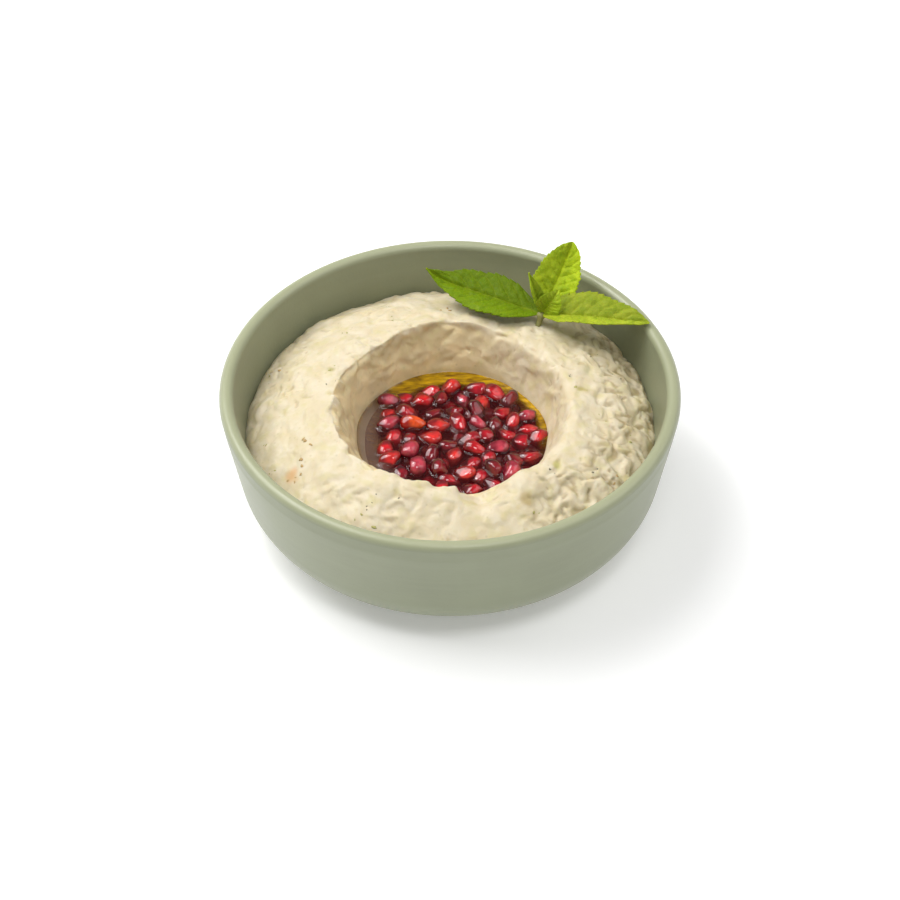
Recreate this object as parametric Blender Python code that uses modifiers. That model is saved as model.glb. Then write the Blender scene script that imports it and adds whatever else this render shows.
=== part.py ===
"""Baba ganoush in its bowl: a round stoneware bowl filled with aubergine dip.

The dip has a well in its top. Oil stands in the well round a heap of pomegranate
seeds, and a mint sprig is stuck in the dip behind the well.

Metres, +Z up. The origin is the centre of the foot ring's underside, and the
sprig is on the +Y side. Depths are measured down from the rim's top.
"""

import math

import bmesh
import bpy
from mathutils import Matrix, Vector, noise

OBJECT_NAME = "baba_ganoush_bowl"
CUTTERS_NAME = "cutters"

# Bowl
RIM_RADIUS = 0.080
BOWL_HEIGHT = 0.053
WALL = 0.005
WALL_SLOPE = 0.154
LIP_DEPTH = 0.003
NECK_DEPTH = 0.0055
NECK_STEP = 0.0003
HEEL_RADIUS = 0.0205
FOOT_HEIGHT = 0.003
FOOT_OUTER = 0.046
FOOT_INNER = 0.040
FOOT_BEVEL = 0.0008
FOOT_HOLLOW = 0.0022

# Dip
WALL_CONTACT_DEPTH = 0.019
CREST_RADIUS = 0.041
CREST_DEPTH = 0.0065
DOME_POWER = 1.7
POOL_RADIUS = 0.0344
OIL_DEPTH = 0.0245
WELL_DEPTH = 0.0315
WELL_POWER = 8
LUMP_SIZE = 0.011
LUMP_HEIGHT = 0.0012

# Marks that the spoon left in the dip: x, y, size, height (a notch's is negative)
SPOON_MARKS = (
    (0.0250, -0.0415, 0.0060, 0.0016),
    (0.0105, -0.0450, 0.0070, -0.0062),
    (-0.0180, -0.0420, 0.0090, 0.0026),
)

# Seeds in the oil
HEAP_RADIUS = 0.0290
HEAP_RISE = 0.0014
SEED_PITCH = 0.0065
SEED_RELIEF = 0.0020

# Out-of-round outlines, as radii east, north-east, north and so on round the bowl
HEAP_OUTLINE = (0.0340, 0.0310, 0.0262, 0.0275, 0.0265, 0.0285, 0.0330, 0.0350)
POOL_OUTLINE = (0.0355, 0.0331, 0.0313, 0.0313, 0.0330, 0.0350, 0.0368, 0.0368)
CREST_OUTLINE = (0.0424, 0.0383, 0.0390, 0.0368, 0.0406, 0.0448, 0.0455, 0.0458)
CONTACT_RISE = (-0.0004, 0.0022, -0.0006, 0.0004, -0.0016, 0.0, 0.0, 0.0008)

# Mint sprig
STEM_FOOT = (0.0300, 0.0356, 0.0390)
STEM_TOP = (0.0332, 0.0406, 0.0488)
STEM_RADIUS = 0.0010
NODE_RADIUS = 0.0017
LEAF_START = 0.0007
LEAF_THICKNESS = 0.0008
LEAF_MARGIN = 0.0008
PETIOLE_HALF_WIDTH = 0.0007
TIP_HALF_WIDTH = 0.0004
LEAF_REST_GAP = 0.0008
LEAF_TAPER = 0.82
LEAF_FULLNESS = 0.95
CURL_POWER = 5

# Tessellation
TURN_STEPS = 56
LIP_STEPS = 6
HEEL_STEPS = 7
DOME_STEPS = 6
WELL_WALL_STEPS = 4
WELL_WALL_BUNCHING = 1.3
HEAP_FLOOR_SHARES = (0.0, 0.50, 0.80, 1.0)
OIL_STEPS = 2
HEAP_STEPS = 6
STEM_SIDES = 10
LEAF_LENGTH_STEPS = 12
LEAF_WIDTH_STEPS = 4
KNOT_SUBDIVISIONS = 2
SURFACE_HALVINGS = 24

GAP = 0.0003
SLOPE_GAP = 0.0006
OIL_MARGIN = 0.0012
MERGE_DISTANCE = 0.00005
SHARP_ANGLE = 40

# name, tip, half width, face direction, arch, fold in degrees, tip curl
LEAVES = (
    ("leaf_left", (-0.0085, 0.0590, 0.0515), 0.0092, (0.05, -0.29, 0.95), 0.0006, 12, 0.0030),
    ("leaf_right", (0.0712, 0.0292, 0.0538), 0.0092, (0.05, -0.03, 1.00), 0.0008, 34, 0.0004),
    ("leaf_back", (0.0447, 0.0596, 0.0670), 0.0080, (-0.10, -0.70, 0.70), -0.0015, 12, 0.0),
    ("leaf_bud", (0.0279, 0.0470, 0.0630), 0.0030, (0.50, -0.80, 0.30), 0.0006, 40, 0.0010),
    ("leaf_young", (0.0390, 0.0428, 0.0580), 0.0048, (-0.20, -0.95, 0.25), 0.0014, 18, -0.0010),
)

# sRGB colours, roughness
COLOURS = {
    "bowl": ((0.62, 0.66, 0.55), 0.35),
    "dip": ((0.93, 0.86, 0.72), 0.60),
    "oil": ((0.62, 0.45, 0.05), 0.10),
    "pomegranate_heap": ((0.62, 0.04, 0.08), 0.20),
    "mint_sprig": ((0.45, 0.62, 0.12), 0.50),
}


def height(depth):
    return BOWL_HEIGHT - depth


def linear(channel):
    """One sRGB channel as linear light."""
    return channel / 12.92 if channel <= 0.04045 else ((channel + 0.055) / 1.055) ** 2.4


def material(name):
    colour, roughness = COLOURS[name]
    made = bpy.data.materials.new(name)
    made.use_nodes = True
    shader = made.node_tree.nodes["Principled BSDF"]
    shader.inputs["Base Color"].default_value = (*map(linear, colour), 1.0)
    shader.inputs["Roughness"].default_value = roughness
    return made


def clear_scene():
    for obj in list(bpy.data.objects):
        bpy.data.objects.remove(obj, do_unlink=True)


def new_collection(name):
    made = bpy.data.collections.new(name)
    bpy.context.scene.collection.children.link(made)
    return made


def add_object(name, mesh, collection):
    obj = bpy.data.objects.new(name, mesh)
    collection.objects.link(obj)
    return obj


def evaluated_mesh(obj):
    """A plain copy of the object's mesh with its modifiers applied, in world space."""
    bpy.context.view_layer.update()
    graph = bpy.context.evaluated_depsgraph_get()
    mesh = bpy.data.meshes.new_from_object(obj.evaluated_get(graph), depsgraph=graph)
    mesh.transform(obj.matrix_world)
    return mesh


def replace_with_applied(obj, collection):
    """The same object with its modifiers applied."""
    name = obj.name
    mesh = evaluated_mesh(obj)
    bpy.data.objects.remove(obj, do_unlink=True)
    return add_object(name, mesh, collection)


def turn(name, profile, closed, collection):
    """A body turned round Z from (radius, height) points, top to bottom down its outside."""
    mesh = bpy.data.meshes.new(name)
    points = [(radius, 0.0, z) for radius, z in profile]
    edges = [(i, i + 1) for i in range(len(points) - 1)]
    if closed:
        edges.append((len(points) - 1, 0))
    mesh.from_pydata(points, edges, [])
    obj = add_object(name, mesh, collection)
    screw = obj.modifiers.new("turn", "SCREW")
    screw.axis = "Z"
    screw.angle = math.tau
    screw.steps = TURN_STEPS
    screw.render_steps = TURN_STEPS
    screw.use_merge_vertices = True
    screw.merge_threshold = MERGE_DISTANCE
    return replace_with_applied(obj, collection)


def finish_piece(obj):
    """Smooth faces with sharp edges kept, and the piece's own material."""
    obj.data.materials.clear()
    obj.data.materials.append(material(obj.name))
    obj.data.shade_smooth()
    obj.data.set_sharp_from_angle(angle=math.radians(SHARP_ANGLE))
    return obj


# ---------------------------------------------------------------- bowl


def heel_centre():
    """(radius, depth) of the centre of the curve between the wall and the base."""
    depth = BOWL_HEIGHT - FOOT_HEIGHT - HEEL_RADIUS
    lean = math.hypot(1.0, WALL_SLOPE)
    radius = RIM_RADIUS - WALL_SLOPE * (depth - LIP_DEPTH) - HEEL_RADIUS * lean
    return radius, depth


def wall_radius(depth, inset):
    """Radius of the sloping wall, moved inward by inset at right angles to it."""
    lean = math.hypot(1.0, WALL_SLOPE)
    return RIM_RADIUS - WALL_SLOPE * (depth - LIP_DEPTH) - inset * lean


def heel_arc(inset):
    """(radius, depth) points from the foot of the wall to the flat of the base."""
    centre_radius, centre_depth = heel_centre()
    start = math.atan(WALL_SLOPE)
    sweep = math.pi / 2 - start
    size = HEEL_RADIUS - inset
    points = []
    for step in range(HEEL_STEPS + 1):
        angle = start + sweep * step / HEEL_STEPS
        points.append((centre_radius + size * math.cos(angle),
                       centre_depth + size * math.sin(angle)))
    return points


def lip_arc():
    """(radius, depth) points over the rounded rim, from the inside to the outside."""
    half = WALL / 2
    middle = RIM_RADIUS - half
    points = []
    for step in range(LIP_STEPS + 1):
        angle = math.pi * (1 - step / LIP_STEPS)
        points.append((middle + half * math.cos(angle), half - half * math.sin(angle)))
    return points


def foot_points():
    """(radius, depth) points round the foot ring and across the hollow inside it."""
    base = BOWL_HEIGHT - FOOT_HEIGHT
    return [
        (FOOT_OUTER + FOOT_BEVEL, base),
        (FOOT_OUTER, BOWL_HEIGHT - FOOT_BEVEL),
        (FOOT_OUTER - FOOT_BEVEL, BOWL_HEIGHT),
        (FOOT_INNER + FOOT_BEVEL, BOWL_HEIGHT),
        (FOOT_INNER, BOWL_HEIGHT - FOOT_BEVEL),
        (FOOT_INNER - FOOT_BEVEL, BOWL_HEIGHT - FOOT_HOLLOW),
        (0.0, BOWL_HEIGHT - FOOT_HOLLOW),
    ]


def make_bowl(collection):
    inside = [(0.0, heel_arc(WALL)[-1][1])] + heel_arc(WALL)[::-1]
    neck = [(wall_radius(NECK_DEPTH, NECK_STEP), NECK_DEPTH)]
    outline = inside + lip_arc() + neck + heel_arc(0.0) + foot_points()
    profile = [(radius, height(depth)) for radius, depth in outline]
    return finish_piece(turn("bowl", profile, False, collection))


# ---------------------------------------------------------------- dip, oil and seeds


def round_the_bowl(values, azimuth):
    """A smooth reading of values that are spaced evenly round the bowl from the east."""
    turn_share = azimuth / math.tau * len(values)
    here = math.floor(turn_share)
    share = turn_share - here
    ease = share * share * (3 - 2 * share)
    return values[here % len(values)] * (1 - ease) + values[(here + 1) % len(values)] * ease


def wall_contact_radius():
    return wall_radius(WALL_CONTACT_DEPTH, WALL + GAP)


def surface_depth(radius):
    """Depth of the round, smooth dip surface that the lumps are added to."""
    if radius <= POOL_RADIUS:
        share = (radius / POOL_RADIUS) ** WELL_POWER
        return WELL_DEPTH + (OIL_DEPTH - WELL_DEPTH) * share
    if radius <= CREST_RADIUS:
        climb = (radius - POOL_RADIUS) / (CREST_RADIUS - POOL_RADIUS)
        return OIL_DEPTH + (CREST_DEPTH - OIL_DEPTH) * math.sin(math.pi / 2 * climb)
    fall = (radius - CREST_RADIUS) / (wall_contact_radius() - CREST_RADIUS)
    return CREST_DEPTH + (WALL_CONTACT_DEPTH - CREST_DEPTH) * min(fall, 1.0) ** DOME_POWER


def smooth_step(low, high, value):
    share = min(max((value - low) / (high - low), 0.0), 1.0)
    return share * share * (3 - 2 * share)


def between(value, knots):
    """Straight-line reading of a table of (from, to) pairs."""
    for (low, low_to), (high, high_to) in zip(knots, knots[1:]):
        if value <= high:
            return low_to + (high_to - low_to) * (value - low) / (high - low)
    return value


def lumps(x, y, radius):
    """Height of the spooned dip above its smooth surface; radius is the round outline's."""
    edge = smooth_step(CREST_RADIUS, wall_contact_radius(), radius)
    tide = round_the_bowl(CONTACT_RISE, math.atan2(y, x)) * edge
    rough = noise.noise(Vector((x, y, 0.0)) / LUMP_SIZE) * LUMP_HEIGHT
    for mark_x, mark_y, size, rise in SPOON_MARKS:
        rough += rise * math.exp(-((x - mark_x) ** 2 + (y - mark_y) ** 2) / size ** 2)
    return tide + rough * smooth_step(POOL_RADIUS, CREST_RADIUS, radius)


def settle(radius, azimuth):
    """The out-of-round radius that a point of a round food outline settles at."""
    pool = round_the_bowl(POOL_OUTLINE, azimuth)
    heap = min(round_the_bowl(HEAP_OUTLINE, azimuth), pool - OIL_MARGIN)
    crest = round_the_bowl(CREST_OUTLINE, azimuth)
    edge = wall_contact_radius()
    return between(radius, (
        (0.0, 0.0),
        (HEAP_RADIUS, heap),
        (HEAP_RADIUS + GAP, heap + GAP),
        (POOL_RADIUS - GAP, pool - GAP),
        (POOL_RADIUS, pool),
        (CREST_RADIUS, crest),
        (edge, edge),
    ))


def settled(point):
    """The point moved out of round, at its own height."""
    azimuth = math.atan2(point.y, point.x)
    radius = settle(math.hypot(point.x, point.y), azimuth)
    return Vector((radius * math.cos(azimuth), radius * math.sin(azimuth), point.z))


def dip_top(x, y):
    """Height of the finished dip surface under a point."""
    azimuth = math.atan2(y, x)
    wanted = math.hypot(x, y)
    low, high = 0.0, wall_contact_radius()
    for _ in range(SURFACE_HALVINGS):
        middle = (low + high) / 2
        if settle(middle, azimuth) < wanted:
            low = middle
        else:
            high = middle
    return height(surface_depth(low)) + lumps(x, y, low)


def ring_radii(inner, outer, steps):
    return [inner + (outer - inner) * step / steps for step in range(steps + 1)]


def heap_floor_radii():
    return [HEAP_RADIUS * share for share in HEAP_FLOOR_SHARES]


def oil_radii():
    return ring_radii(HEAP_RADIUS + GAP, POOL_RADIUS - GAP, OIL_STEPS)


def well_floor_radii():
    """The rings of the well's floor, which the seeds' and the oil's undersides share."""
    return heap_floor_radii() + oil_radii() + [POOL_RADIUS]


def well_wall_radii():
    span = CREST_RADIUS - POOL_RADIUS
    return [POOL_RADIUS + span * (step / WELL_WALL_STEPS) ** WELL_WALL_BUNCHING
            for step in range(1, WELL_WALL_STEPS + 1)]


def dome_radii():
    span = wall_contact_radius() - CREST_RADIUS
    return [CREST_RADIUS + span * step / DOME_STEPS for step in range(1, DOME_STEPS + 1)]


def shape_dip(mesh):
    """Moves the turned dip's top out of round and gives it its lumps; its edge stays on the wall."""
    edge = wall_contact_radius()
    for vertex in mesh.vertices:
        radius = math.hypot(vertex.co.x, vertex.co.y)
        depth = BOWL_HEIGHT - vertex.co.z
        if depth > surface_depth(radius) + GAP:
            continue
        moved = settled(vertex.co)
        rise = lumps(moved.x, moved.y, radius)
        if radius > edge - GAP:
            reach = wall_radius(depth - rise, WALL + GAP) / radius
            moved = Vector((vertex.co.x * reach, vertex.co.y * reach, moved.z))
        vertex.co = moved + Vector((0.0, 0.0, rise))


def make_dip(collection, stem_cutter):
    radii = well_floor_radii() + well_wall_radii() + dome_radii()
    top = [(radius, surface_depth(radius)) for radius in radii]
    underside = heel_arc(WALL + GAP)
    outline = top + underside + [(0.0, underside[-1][1])]
    profile = [(radius, height(depth)) for radius, depth in outline]
    dip = turn("dip", profile, False, collection)
    shape_dip(dip.data)
    cut = dip.modifiers.new("stem_hole", "BOOLEAN")
    cut.operation = "DIFFERENCE"
    cut.solver = "EXACT"
    cut.object = stem_cutter
    return finish_piece(dip)


def make_oil(collection):
    """Oil in the well, up to its level, round the heap of seeds."""
    radii = oil_radii()
    floor = [(radius, height(surface_depth(radius)) + SLOPE_GAP) for radius in radii[:-1]]
    top = [(radii[0], height(OIL_DEPTH)), (radii[-1], height(OIL_DEPTH))]
    oil = turn("oil", top + floor[::-1], True, collection)
    for vertex in oil.data.vertices:
        vertex.co = settled(vertex.co)
    return finish_piece(oil)


def seed_relief(x, y):
    """Bumps of single seeds on the heap, above or below its middle height."""
    return noise.noise(Vector((x, y, SEED_PITCH)) / SEED_PITCH) * SEED_RELIEF


def make_heap(collection):
    """The seeds as one lumpy body that stands on the well's floor and out of the oil."""
    radii = ring_radii(0.0, HEAP_RADIUS, HEAP_STEPS)
    crown = height(OIL_DEPTH) + HEAP_RISE
    top = [(radius, crown) for radius in radii[:-1]]
    shoulder = [(HEAP_RADIUS, height(OIL_DEPTH) + HEAP_RISE / 2)]
    floor = [(radius, height(surface_depth(radius)) + GAP) for radius in heap_floor_radii()]
    heap = turn("pomegranate_heap", top + shoulder + floor[::-1], False, collection)
    for vertex in heap.data.vertices:
        moved = settled(vertex.co)
        if vertex.co.z > height(OIL_DEPTH):
            moved.z += seed_relief(moved.x, moved.y)
        vertex.co = moved
    return finish_piece(heap)


# ---------------------------------------------------------------- mint sprig


def leaf_half_width(share, widest):
    """Half width of an ovate leaf at a share of its length from the foot."""
    blade = 0.0
    if 0 < share < 1:
        blade = widest * math.sin(math.pi * share ** LEAF_TAPER) ** LEAF_FULLNESS
    return max(blade, PETIOLE_HALF_WIDTH * (1 - share), TIP_HALF_WIDTH * share)


def leaf_point(foot, tip, widest, face, arch, fold, curl, share, across):
    """A point of the leaf's middle surface; across runs from -1 to 1."""
    along = tip - foot
    forward = along.normalized()
    up = (face - forward * face.dot(forward)).normalized()
    side = forward.cross(up)
    half = leaf_half_width(share, widest) * across
    lift = arch * math.sin(math.pi * share) + curl * share ** CURL_POWER
    spread = side * (half * math.cos(fold)) + up * (abs(half) * math.sin(fold))
    return foot + along * share + up * lift + spread


def rest_height(point):
    """The lowest that a leaf may lie at this place, over the dip or the rim."""
    radius = math.hypot(point.x, point.y)
    if radius > wall_radius(0.0, WALL) - LEAF_MARGIN:
        return BOWL_HEIGHT + LEAF_REST_GAP
    return dip_top(point.x, point.y) + LEAF_REST_GAP


def make_leaf(name, tip, widest, face, arch, fold, curl, collection):
    knot, tip = Vector(STEM_TOP), Vector(tip)
    foot = knot + (tip - knot).normalized() * LEAF_START
    grid = bmesh.new()
    bmesh.ops.create_grid(grid, x_segments=LEAF_LENGTH_STEPS, y_segments=LEAF_WIDTH_STEPS, size=1.0)
    for vertex in grid.verts:
        share = (vertex.co.x + 1) / 2
        point = leaf_point(foot, tip, widest, Vector(face), arch,
                           math.radians(fold), curl, share, vertex.co.y)
        point.z = max(point.z, rest_height(point))
        vertex.co = point
    mesh = bpy.data.meshes.new(name)
    grid.to_mesh(mesh)
    grid.free()
    leaf = add_object(name, mesh, collection)
    shell = leaf.modifiers.new("thickness", "SOLIDIFY")
    shell.thickness = LEAF_THICKNESS
    shell.offset = 0.0
    return replace_with_applied(leaf, collection)


def rod_between(name, start, end, radius, collection):
    """A round rod with flat ends, from start to end."""
    start, end = Vector(start), Vector(end)
    run = end - start
    rod = bmesh.new()
    bmesh.ops.create_cone(rod, cap_ends=True, segments=STEM_SIDES, radius1=radius,
                          radius2=radius, depth=run.length)
    turned = run.to_track_quat("Z", "Y").to_matrix().to_4x4()
    rod.transform(Matrix.Translation((start + end) / 2) @ turned)
    mesh = bpy.data.meshes.new(name)
    rod.to_mesh(mesh)
    rod.free()
    return add_object(name, mesh, collection)


def make_stem_cutter(collection):
    """The stem with a gap all round it, long enough to come out of the dip's top."""
    start, end = Vector(STEM_FOOT), Vector(STEM_TOP)
    forward = (end - start).normalized()
    cutter = rod_between("stem_hole", start - forward * GAP, end + forward * NODE_RADIUS,
                         STEM_RADIUS + GAP, collection)
    cutter.hide_render = True
    cutter.display_type = "WIRE"
    return cutter


def join_into(base, other):
    """Unites other into base and removes it."""
    join = base.modifiers.new("join", "BOOLEAN")
    join.operation = "UNION"
    join.solver = "EXACT"
    join.object = other
    mesh = evaluated_mesh(base)
    base.modifiers.clear()
    base.data = mesh
    bpy.data.objects.remove(other, do_unlink=True)


def make_sprig(collection):
    sprig = rod_between("mint_sprig", STEM_FOOT, STEM_TOP, STEM_RADIUS, collection)
    knot = bmesh.new()
    bmesh.ops.create_icosphere(knot, subdivisions=KNOT_SUBDIVISIONS, radius=NODE_RADIUS)
    knot.transform(Matrix.Translation(Vector(STEM_TOP)))
    mesh = bpy.data.meshes.new("knot")
    knot.to_mesh(mesh)
    knot.free()
    join_into(sprig, add_object("knot", mesh, collection))
    for leaf in LEAVES:
        join_into(sprig, make_leaf(*leaf, collection))
    return finish_piece(sprig)


def main():
    clear_scene()
    parts = new_collection(OBJECT_NAME)
    cutters = new_collection(CUTTERS_NAME)
    cutters.hide_render = True
    make_bowl(parts)
    make_dip(parts, make_stem_cutter(cutters))
    make_oil(parts)
    make_heap(parts)
    make_sprig(parts)


main()
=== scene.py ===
"""Baba ganoush in its bowl, dressed: glazed stoneware, dip, oil, pomegranate seeds and mint.

Metres, +Z up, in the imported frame. Azimuths run anticlockwise from the east (+X), and
depths are measured down from the rim's top. The food's outlines repeat those of its CAD.
"""

import itertools
import math

import bmesh
import bpy
import numpy as np
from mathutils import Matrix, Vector, noise


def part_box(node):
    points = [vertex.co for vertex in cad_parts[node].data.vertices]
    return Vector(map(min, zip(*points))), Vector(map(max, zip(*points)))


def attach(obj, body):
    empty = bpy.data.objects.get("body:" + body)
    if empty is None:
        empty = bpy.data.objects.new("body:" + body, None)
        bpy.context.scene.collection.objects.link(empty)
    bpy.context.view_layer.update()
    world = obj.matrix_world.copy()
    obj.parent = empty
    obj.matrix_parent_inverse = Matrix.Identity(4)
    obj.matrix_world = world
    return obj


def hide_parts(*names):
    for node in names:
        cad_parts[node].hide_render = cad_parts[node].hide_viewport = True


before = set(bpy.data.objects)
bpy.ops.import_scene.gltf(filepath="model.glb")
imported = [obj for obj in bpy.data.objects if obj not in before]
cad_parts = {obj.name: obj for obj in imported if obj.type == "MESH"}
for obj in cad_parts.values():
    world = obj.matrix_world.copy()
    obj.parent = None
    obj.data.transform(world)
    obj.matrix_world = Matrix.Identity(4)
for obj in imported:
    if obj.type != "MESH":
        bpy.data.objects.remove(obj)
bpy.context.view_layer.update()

MM = 0.001
TAU = math.tau

# Bowl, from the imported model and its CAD
BOWL_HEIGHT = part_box("bowl")[1].z
RIM_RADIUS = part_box("bowl")[1].x
WALL = 5.0 * MM
WALL_SLOPE = 0.154
LIP_DEPTH = 3.0 * MM
NECK_DEPTH = 5.5 * MM
NECK_STEP = 0.3 * MM
SHOULDER_DEPTH = NECK_DEPTH + 1.2 * MM
HEEL_RADIUS = 20.5 * MM
FOOT_HEIGHT = 3.0 * MM
FOOT_OUTER = 46.0 * MM
FOOT_INNER = 40.0 * MM
FOOT_BEVEL = 0.8 * MM
FOOT_HOLLOW = 2.2 * MM
BOWL_SEGMENTS = 288

# Dip
WALL_CONTACT_DEPTH = 19.0 * MM
CREST_RADIUS = 41.0 * MM
CREST_DEPTH = 6.5 * MM
DOME_POWER = 1.7
POOL_RADIUS = 34.4 * MM
OIL_DEPTH = 24.5 * MM
WELL_DEPTH = 31.5 * MM
WELL_POWER = 8
LUMP_SIZE = 11.0 * MM
LUMP_HEIGHT = 1.2 * MM
# Marks that the spoon left, in metres: x, y, size, height (a notch's is negative)
SPOON_MARKS = (
    (0.0250, -0.0415, 0.0060, 0.0016),
    (0.0105, -0.0450, 0.0070, -0.0062),
    (-0.0180, -0.0420, 0.0090, 0.0026),
)
# Colours in sRGB: cream, its paler parts, straw, beige, and brown for painted shade in creases, pits
# and under the crest
DIP_TONES = (
    (0.856, 0.798, 0.668), (0.880, 0.830, 0.722), (0.826, 0.782, 0.568), (0.900, 0.820, 0.645),
    (0.600, 0.500, 0.300),
)
# Stains: x, y and size in millimetres, colour
STAINS = (
    (-54, -34, 3.0, (0.84, 0.62, 0.36)),
    (46, 4, 2.2, (0.68, 0.62, 0.28)),
    (-42, 14, 1.8, (0.66, 0.62, 0.34)),
    (26, -50, 2.6, (0.70, 0.60, 0.36)),
    (36, -34, 2.0, (0.72, 0.70, 0.36)),
    (31, -42, 1.5, (0.54, 0.50, 0.38)),
)
HEAP_RADIUS = 29.0 * MM
OIL_MARGIN = 1.2 * MM
EMBED = 0.4 * MM

# Out-of-round outlines, as radii east, north-east, north and so on round the bowl, and how far
# the dip's rim rises there
HEAP_OUTLINE = (0.0340, 0.0310, 0.0262, 0.0275, 0.0265, 0.0285, 0.0330, 0.0350)
POOL_OUTLINE = (0.0355, 0.0331, 0.0313, 0.0313, 0.0330, 0.0350, 0.0368, 0.0368)
CREST_OUTLINE = (0.0424, 0.0383, 0.0390, 0.0368, 0.0406, 0.0448, 0.0455, 0.0458)
CONTACT_RISE = (-0.0004, 0.0022, -0.0006, 0.0004, -0.0016, 0.0, 0.0, 0.0008)

DIP_SEGMENTS = 640
FLOOR_RINGS = 8
WELL_RINGS = 38
DOME_RINGS = 78
UNDERSIDE_RINGS = 8
NORMAL_REACH = 6
CREST_REACH = 12

# A few seeds that stand out: place in millimetres from the bowl's axis, heading in degrees, colour
PLACED_SEEDS = (
    (-13, 4, -20, "orange"),
    (-4, 3, 15, "coral"),
    (5, -21, 0, "coral"),
    (-22, 16, 5, "rose"),
    (-14, -9, 60, "rose"),
    (8, -29, 10, "ruby"),
    (16, 20, -40, "scarlet"),
    (31, -3, 30, "scarlet"),
)
SEED_LENGTH = 9.0 * MM
SEED_WIDTH = 6.5 * MM
SEED_THICKNESS = 5.8 * MM
SEED_SPACING = 5.5 * MM
SUNK_SPACING = 5.6 * MM
SUNK_DEPTH = 3.4 * MM
SEED_DETAIL = 4
CORE_DEPTH = 4.2 * MM
CORE_RELIEF = 2.4 * MM
CORE_LIFT = 0.2 * MM

# Seed colours in sRGB: body, then the painted glow of light shining through the seed, on its side away
# from the key light
SEED_COLOURS = {
    "scarlet": ((0.45, 0.00, 0.04), (0.88, 0.04, 0.11)),
    "ruby": ((0.34, 0.00, 0.04), (0.77, 0.02, 0.12)),
    "wine": ((0.27, 0.00, 0.04), (0.56, 0.02, 0.10)),
    "rose": ((0.42, 0.04, 0.12), (0.82, 0.26, 0.33)),
    "coral": ((0.50, 0.03, 0.05), (0.90, 0.18, 0.16)),
    "orange": ((0.62, 0.08, 0.03), (0.97, 0.36, 0.10)),
}

# Oil: how far it reaches past the pool's outline, its climb at the edge, as wide as it is high,
# its climb round seeds, the depth of the seeds that don't lift it, and its ripple
OIL_OVERLAP = 0.5 * MM
EDGE_CLIMB = 0.9 * MM
SEED_CLIMB = 1.0 * MM
SEED_CLIMB_WIDTH = 0.75 * MM
DEEP_SEED = 2.4 * MM
RIPPLE_SIZE = 7.0 * MM
RIPPLE_HEIGHT = 0.12 * MM

# Mint
STEM_FOOT = np.array((30.0, 35.6, 39.0)) * MM
STEM_TOP = np.array((33.2, 40.6, 48.8)) * MM
STEM_RADIUS = 1.0 * MM
LEAF_START = 0.7 * MM
LEAF_THICKNESS = 0.4 * MM
LEAF_MARGIN = 0.8 * MM
LEAF_REST_GAP = 0.8 * MM
CURL_POWER = 9
PETIOLE_HALF_WIDTH = 0.7 * MM
TIP_HALF_WIDTH = 0.4 * MM
# Leaves, lengths in millimetres: name, tip, half width, face direction, arch, fold in degrees,
# tip curl, tint in sRGB, taper, fullness
LEAVES = (
    ("mint_leaf_left", (-8.5, 59.0, 51.5), 9.2, (0.05, -0.29, 0.95), 0.6, 12, 5.0,
     (0.43, 0.53, 0.0), 0.82, 0.95),
    ("mint_leaf_right", (71.2, 29.2, 53.8), 9.6, (0.05, -0.03, 1.0), 0.8, 26, 0.4,
     (0.68, 0.73, 0.19), 0.74, 0.72),
    ("mint_leaf_back", (44.7, 59.6, 67.0), 8.2, (-0.10, -0.70, 0.70), -1.5, 12, 0.0,
     (0.69, 0.77, 0.12), 0.92, 0.66),
    ("mint_bud", (27.9, 47.0, 63.0), 3.0, (0.50, -0.80, 0.30), 0.6, 40, 1.0,
     (0.64, 0.72, 0.16), 0.82, 0.95),
    ("mint_leaf_young", (39.0, 42.8, 58.0), 4.8, (-0.20, -0.95, 0.25), 1.4, 18, -1.0,
     (0.66, 0.74, 0.16), 0.82, 0.85),
)
LEAF_ROWS = 132
LEAF_COLUMNS = 40
LEAF_TEETH = 15
LEAF_VEINS = 8
TOOTH_REACH = 0.085
TOOTH_INSET = 0.04
TOOTH_LEAN = 0.020
LEAF_UNEVENNESS = 0.10
LEAF_WAVE_SIZE = 10.0 * MM
LEAF_WAVE = 1.3 * MM
MIDRIB_WIDTH = 0.55 * MM
PUCKER_SIZE = 2.0 * MM
FULL_SIZE_HALF_WIDTH = 9.0  # in millimetres, as in LEAVES

# Camera, looking down at the front of the bowl
CAMERA_DISTANCE = 0.700
CAMERA_ELEVATION = math.radians(42.0)
CAMERA_LENS = 80.71
CAMERA_AIM_DEPTH = 33.45 * MM

# Lights: name, azimuth, elevation, distance and size in metres, watts
LIGHTS = (
    ("key", 156, 55, 1.3, 1.0, 14.5),
    ("spark", 138, 58, 1.2, 0.16, 1.2),
    ("top", -72, 70, 1.2, 0.32, 2.7),
    ("side", 8, 48, 1.4, 1.0, 4.2),
)
# The floor glows more far from the bowl. The world's strength fades from the third of its
# values to the fourth, as the sine of the elevation goes from the first to the second.
FLOOR_GLOW = 0.22
FAR_FLOOR_GLOW = 0.62
WORLD_FADE = (0.12, 0.25, 0.90, 0.285)

# Sizes of the dip's uneven parts, from large to small, and how far they are drawn out of round
RUGGED_SIZE = 16.0 * MM
CLOT_SIZE = 9.0 * MM
RAGGED_SIZE = 5.0 * MM
CRUMB_SIZES = (4.4 * MM, 3.4 * MM)
PIT_SIZE = 2.6 * MM
GRIT_SIZE = 2.3 * MM
DRIFT_SIZE = 6.0 * MM
DRIFT = 3.2 * MM
TONE_RAGGEDNESS = 1.3 * MM
CREASE_WIDTH = 0.22

# The dip's rim, where it rolls down to the bowl
EDGE_RUN_RADIUS = 65.0 * MM
EDGE_WAVE_SIZE = 3.2 * MM
EDGE_ROLL_WIDTH = 2.6 * MM
EDGE_ROLL_POWER = 2.4
EDGE_DROP = 1.5 * MM
EDGE_WAVE = 0.7 * MM

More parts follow.
